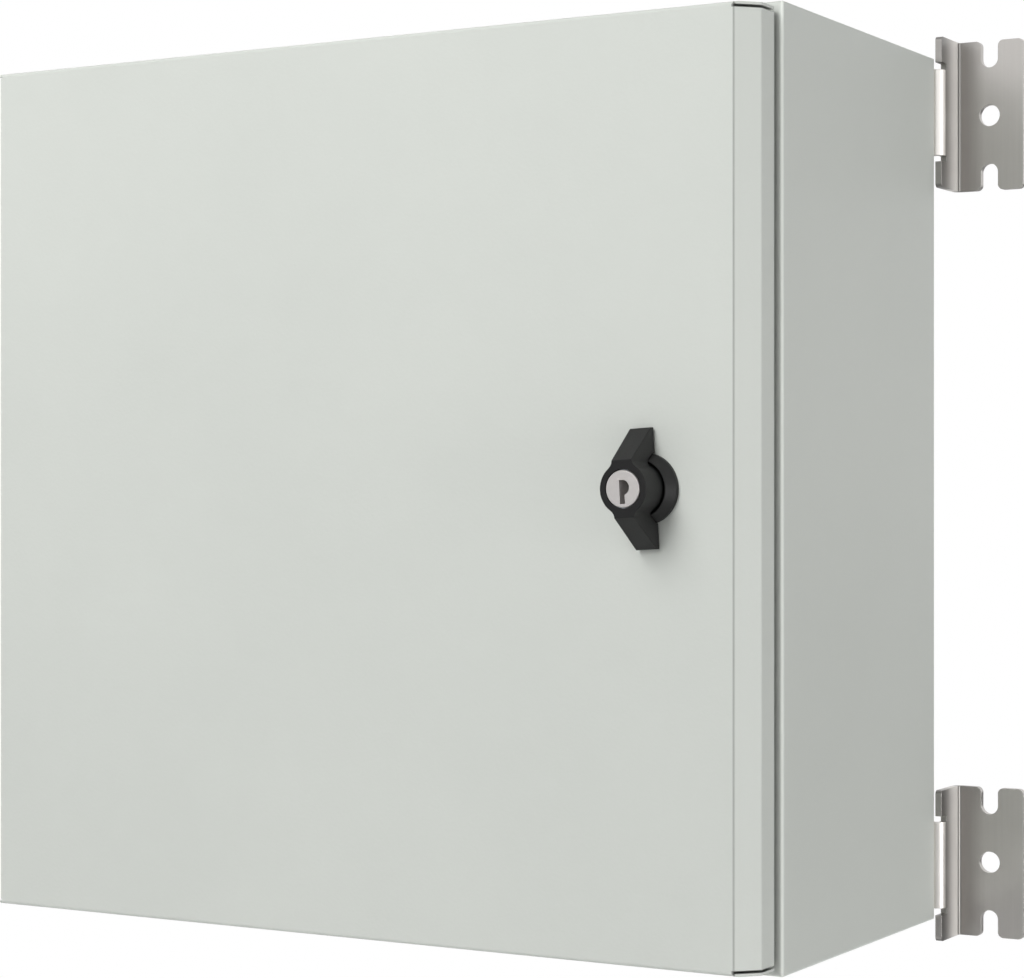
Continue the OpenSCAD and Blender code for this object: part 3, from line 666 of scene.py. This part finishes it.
def makeHingeScrews():
    # countersunk; rows go from the floor of the hexagon socket over the head to the thread
    size, head, sink = fixings["m4"], fixings["headM4"], fixings["sinkM4"]
    floor, start = fixings["socketDepthM4"], fixings["threadStart"]
    low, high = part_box("hinge_screws")
    middle = centreOf("upper_hinge_body_leaf")[2]
    reach, length = high[2] - head - middle, high[1] - low[1]
    spots = [((low[0] + high[0]) / 2, side * middle + end * reach)
             for side in (-1, 1) for end in (-1, 1)]
    socket = hexRadius(fixings["socketM4"])
    rows = [(floor, 0), (floor, socket), (0.0001, socket), (0, socket + 0.0001),
            (0, head - 0.0002), (0.0002, head - 0.0001), (sink, size["radius"])]
    rows += threadRows(size["radius"], size["pitch"], sink + start, length) + [(length, 0)]
    addPiece("hinge_screw_heads", [turned((x, low[1], z), backward, rows) for x, z in spots],
             "zinc_plated_steel", "enclosure", "hinge_screws")
    nutFront = span("hinge_nuts", 1)[0]
    addNuts("hinge_screw_nuts", [(x, nutFront, z) for x, z in spots], backward, "m4",
            "hinge_nuts")


def makeEarthStuds():
    for owner, body, axis in (("body", "enclosure", 0), ("door", "door", 1)):
        low, high = span(owner + "_earth_stud", axis)
        direction = np.eye(3)[axis]
        place = centreOf(owner + "_earth_stud")
        place[axis] = low
        stud = dict(fixings["m6"], flange=fixings["flangeM6"], length=high - low)
        addPiece(owner + "_earth_thread", [studShell(place, direction, stud)],
                 "zinc_plated_steel", body, owner + "_earth_stud")
        place = place.copy()
        place[axis] = span(owner + "_earth_nut", axis)[0]
        addNuts(owner + "_earth_hexagon", [place], direction, "m6", owner + "_earth_nut", body)


lockParts = {
    "barrel": 0.0110,         # radius of the threaded barrel
    "nutAcross": 0.0270,
    "threadPitch": 0.0015,
    "threadRise": 0.00045,
    "threadStep": 0.55,       # share of the pitch, because the thread is shallow
    "runOut": 0.0003,         # plain end of the barrel
    "rootSink": 0.0002,       # how far the sleeve's inside lies in the barrel
    "rootRise": 0.00003,
    "sealInner": 0.01105,
}


def makeLockDetails():
    look = lockParts
    low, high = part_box("lock_nut")
    axis = (lockAxis[0], low[1], lockAxis[2])
    addPiece("lock_nut_hexagon", [nutShell(axis, backward, look["nutAcross"],
                                           look["barrel"] + fixings["fit"], high[1] - low[1])],
             "zinc_plated_steel", "door", "lock_nut")
    # sleeve of thread round the end of the barrel, closed on its inside
    first, last = 0.0002, span("lock_collar", 1)[1] - high[1] - look["runOut"]
    inside, root = look["barrel"] - look["rootSink"], look["barrel"] + look["rootRise"]
    rows = threadRows(look["barrel"] + look["threadRise"],
                      look["threadPitch"] * look["threadStep"], first, last)
    rows = [(height, np.maximum(radius, root)) for height, radius in rows]
    rows = [(first, inside)] + rows + [(last, inside)]
    addPiece("barrel_thread", [turned((axis[0], high[1], axis[2]), backward, rows, loop=True)],
             "black_plastic", "door")
    low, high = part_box("collar_seal")
    outer, soft = (high[0] - low[0]) / 2, softRings["collar"]
    addPiece("collar_seal_ring", [ringShell((axis[0], 0, axis[2]), backward,
                                            outer - soft["inset"], look["sealInner"],
                                            low[1], high[1], soft["bulge"])],
             "dark_foam_rubber", "door", "collar_seal")
    front, rear = span("cam_screw", 1)
    seat = span("cam_washer", 1)[1]
    bolt = dict(fixings["m5"], head=rear - seat, flange=fixings["flangeCam"],
                length=seat - front)
    addPiece("cam_bolt", [boltShell((axis[0], seat, axis[2]), backward, bolt)],
             "zinc_plated_steel", "knob", "cam_screw")


sealLook = {
    "width": 0.012,
    "cornerRadius": 0.014,    # of the bead's middle line
    "crown": 0.0040,
    "foot": 0.0030,
    "printWidth": 0.0011,     # half width of the groove that the lip has pressed
    "printDepth": 0.0006,
    "waviness": 0.00012,
    "waves": (61, 143),       # radians per metre of the two slow waves
    "jointPlace": 0.62,       # where the bead's two ends meet, as a share of its length
    "jointReach": 0.006,
    "jointSwell": 0.05,
}


def roundedPath(halfWidth, halfHeight, radius, sideSteps=60, cornerSteps=10):
    # middle line of a frame in x and z, and its outward direction, corner by corner
    angles = np.linspace(0, math.pi / 2, cornerSteps)
    spots, outward = [], []
    for turn, (signX, signZ) in enumerate(((1, 1), (-1, 1), (-1, -1), (1, -1))):
        a = angles + turn * math.pi / 2
        outward.append(np.stack([np.cos(a), np.sin(a)], axis=1))
        centre = np.array([signX * (halfWidth - radius), signZ * (halfHeight - radius)])
        spots.append(centre + radius * outward[-1])
    line, normals = [], []
    for turn in range(4):
        share = np.linspace(0, 1, sideSteps)[1:-1, None]
        start, stop = spots[turn][-1], spots[(turn + 1) % 4][0]
        line += [spots[turn], start + (stop - start) * share]
        normals += [outward[turn], np.repeat(outward[turn][-1:], sideSteps - 2, axis=0)]
    return np.concatenate(line), np.concatenate(normals)


def makeDoorSeal():
    # a bead of foam: half-ellipse flanks up to a flat crown with the print of the lip in it,
    # carried round the frame; slow waves and one joint make its height uneven
    look = sealLook
    low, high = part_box("door_gasket")
    base, top, width = low[1], high[1], look["width"]
    line, outward = roundedPath((high[0] - low[0] - width) / 2, (high[2] - low[2] - width) / 2,
                                look["cornerRadius"])
    angles = np.linspace(0, math.pi / 2, 9)
    flank = look["crown"] / 2 + (width - look["crown"]) / 2 * np.cos(angles)
    rise = look["foot"] + (top - base - look["foot"]) * np.sin(angles)
    crown = np.linspace(1, -1, 15)[1:-1] * look["crown"] / 2
    across = np.concatenate([[width / 2], flank, crown, -flank[::-1], [-width / 2]])
    pressed = np.exp(-(crown / look["printWidth"]) ** 4) * look["printDepth"]
    height = np.concatenate([[0], rise, top - base - pressed, rise[::-1], [0]])
    travel = np.cumsum(np.linalg.norm(np.diff(line, axis=0, append=line[:1]), axis=1))
    long, short = look["waves"]
    wave = np.sin(travel * long) * 0.5 + np.sin(travel * short + 1) * 0.3 - 0.8
    fromJoint = travel - travel[-1] * look["jointPlace"]
    ends = np.exp(-(fromJoint / look["jointReach"]) ** 2)
    swell = 1 + (wave * look["waviness"]) / (top - base)
    middle = (low + high) / 2
    grid = np.empty((len(line), len(across), 3))
    reach = across[None] * (1 + ends[:, None] * look["jointSwell"])
    grid[..., 0] = middle[0] + line[:, None, 0] + outward[:, None, 0] * reach
    grid[..., 2] = middle[2] + line[:, None, 1] + outward[:, None, 1] * reach
    grid[..., 1] = base + height[None] * swell[:, None]
    addPiece("door_seal_bead", [(grid, True)], "dark_foam_rubber", "door", "door_gasket")


glandSealLook = {
    "width": 0.015,
    "cornerRadius": 0.0075,
    "outerInset": 0.0004,
    "innerInset": 0.0002,
    "bulge": 0.0004,
}


def makeGlandSeal():
    # flat strip round the gland opening; its outer rim swells by bulge * (1 - share squared)
    look = glandSealLook
    low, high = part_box("gland_gasket")
    width = look["width"]
    line, outward = roundedPath((high[0] - low[0] - width) / 2, (high[1] - low[1] - width) / 2,
                                look["cornerRadius"], 40, 8)
    share = np.linspace(-1, 1, 5)
    outer = width / 2 - look["outerInset"] + look["bulge"] * (1 - share ** 2)
    across = np.concatenate([outer, np.full(len(share), look["innerInset"] - width / 2)])
    level = np.concatenate([share, share[::-1]])
    middle, half = (low + high) / 2, (high[2] - low[2]) / 2
    grid = np.empty((len(line), len(across), 3))
    grid[..., 0] = middle[0] + line[:, None, 0] + outward[:, None, 0] * across[None]
    grid[..., 1] = middle[1] + line[:, None, 1] + outward[:, None, 1] * across[None]
    grid[..., 2] = middle[2] + half * level[None]
    addPiece("gland_seal", [(grid, True)], "dark_foam_rubber", "enclosure", "gland_gasket")


makeWallBolts()
makePlateStuds()
makeGlandFixings()
makeHingeScrews()
makeEarthStuds()
makeLockDetails()
makeDoorSeal()
makeGlandSeal()
print("fixings and seals made")

studio = {
    "plainLevel": 0.18,       # what the world gives matt surfaces
    "lowLevel": 0.38,         # what polished metal sees in front, below the horizon
    "frontLevel": 1.12,       # and in front, above it
    "windowLevel": 1.3,       # a bright window, front right
    "horizon": (-0.12, 0.12),     # this and the next four are parts of a unit direction
    "sidesFrom": (-0.82, -0.45),
    "windowLeft": (0.24, 0.42),
    "windowRight": (0.86, 0.97),
    "windowBack": (-0.4, -0.15),
    "aim": (0, -0.1, 0),          # all lamps point here
    "lamps": {
        "upper left": {"place": (-0.403, -1.603, 1.556), "size": (1.0, 1.0), "power": 20.3,
                       "mirrored": False},
        "front": {"place": (-0.1, -2.0, 1.1), "size": (0.7, 1.2), "power": 18.4,
                  "mirrored": False},
        "left": {"place": (-2.3, 0.35, -0.2), "size": (1.0, 1.4), "power": 20.0,
                 "mirrored": False},
        "rear": {"place": (-0.5, 2.35, 1.2), "size": (1.2, 1.2), "power": 34.0,
                 "mirrored": False},
        "side": {"place": (2.27, -0.4, -0.5), "size": (1.0, 1.4), "power": 23.3,
                 "mirrored": True},
    },
}


def makeWorld():
    # white to the camera, one even level to matt surfaces, and a front, sides and a window
    # to polished ones
    world = bpy.data.worlds.new("plain studio")
    bpy.context.scene.world = world
    sky = Finish("sky", owner=world)
    seen = sky.node("Math", {"operation": "MAXIMUM"}, {
        0: sky.node("LightPath", out="Is Camera Ray"),
        1: sky.node("LightPath", out="Is Transmission Ray")})
    gloss = sky.node("LightPath", out="Is Glossy Ray")
    heading = sky.node("TexCoord", out="Generated")
    right, back, above = [sky.node("SeparateXYZ", None, {"Vector": heading}, out=axis)
                          for axis in "XYZ"]
    front = sky.slope(above, *studio["horizon"]) * (studio["frontLevel"] - studio["lowLevel"])
    front = front + studio["lowLevel"]
    sides = sky.slope(back, *studio["sidesFrom"])
    window = sky.slope(right, *studio["windowLeft"])
    window = window * (1 - sky.slope(right, *studio["windowRight"]))
    window = window * (1 - sky.slope(back, *studio["windowBack"]))
    mirrored = (front * (1 - sides) + sides) * (1 - window) + window * studio["windowLevel"]
    level = gloss * mirrored + seen + (1 - gloss) * (1 - seen) * studio["plainLevel"]
    background = sky.tree.nodes["Background"]
    background.inputs["Color"].default_value = colour(1, 1, 1)
    sky.feed(background.inputs["Strength"], level)


floorLook = {
    "level": -0.75,
    "reach": 14.0,
    "pale": colour(0.86, 0.86, 0.86),
    "glow": 0.72,             # share of plain white under the object
    "fade": (1.3, 2.6),       # it grows to all of it between these distances
}


def makeFloor():
    look = floorLook
    reach = look["reach"]
    data = bpy.data.meshes.new("floor")
    corners = [(-reach, -reach), (reach, -reach), (reach, reach), (-reach, reach)]
    data.from_pydata([(x, y, look["level"]) for x, y in corners], [], [(0, 1, 2, 3)])
    floor = bpy.data.objects.new("floor", data)
    bpy.context.scene.collection.objects.link(floor)
    pale = Finish("pale floor", {"Base Color": look["pale"], "Roughness": 0.9,
                                 "Specular IOR Level": 0.1})
    away = pale.node("VectorMath", {"operation": "LENGTH"}, {0: pale.place()}, out="Value")
    white = pale.slope(away, *look["fade"], look["glow"], 1.0)
    seen = pale.node("LightPath", out="Is Camera Ray")
    glow = pale.node("Emission", None, {"Strength": 1.0})
    mixed = pale.node("MixShader", None, {
        0: white * seen, 1: Signal(pale, pale.surface.outputs[0]), 2: glow})
    pale.feed(pale.tree.nodes["Material Output"].inputs["Surface"], mixed)
    data.materials.append(pale.owner)


lens = {
    "place": (0.6484, -1.1836, 0.0002),
    "turn": 29.573,
    "focal": 92.97,
    "sensor": 36.0,
    "shift": (-0.0312, -0.0006),
    "farthest": 60.0,
}


def makeCamera():
    # front right of the door at its middle height
    data = bpy.data.cameras.new("camera")
    data.lens = lens["focal"]
    data.sensor_width = lens["sensor"]
    data.shift_x, data.shift_y = lens["shift"]
    data.clip_end = lens["farthest"]
    camera = bpy.data.objects.new("camera", data)
    camera.location = lens["place"]
    camera.rotation_euler = (math.pi / 2, 0, math.radians(lens["turn"]))
    bpy.context.scene.collection.objects.link(camera)
    bpy.context.scene.camera = camera


def makeLamps():
    for name, look in studio["lamps"].items():
        data = bpy.data.lights.new(name, "AREA")
        data.shape = "RECTANGLE"
        data.size, data.size_y = look["size"]
        data.energy = look["power"]
        lamp = bpy.data.objects.new(name, data)
        lamp.visible_glossy = look["mirrored"]
        east, north, rise = np.subtract(studio["aim"], look["place"])
        lamp.location = look["place"]
        lamp.rotation_euler = (math.atan2(math.hypot(east, north), -rise), 0,
                               math.atan2(north, east) - math.pi / 2)
        bpy.context.scene.collection.objects.link(lamp)


makeWorld()
makeFloor()
makeCamera()
makeLamps()
bpy.context.scene.view_settings.view_transform = "Standard"
print("studio ready")
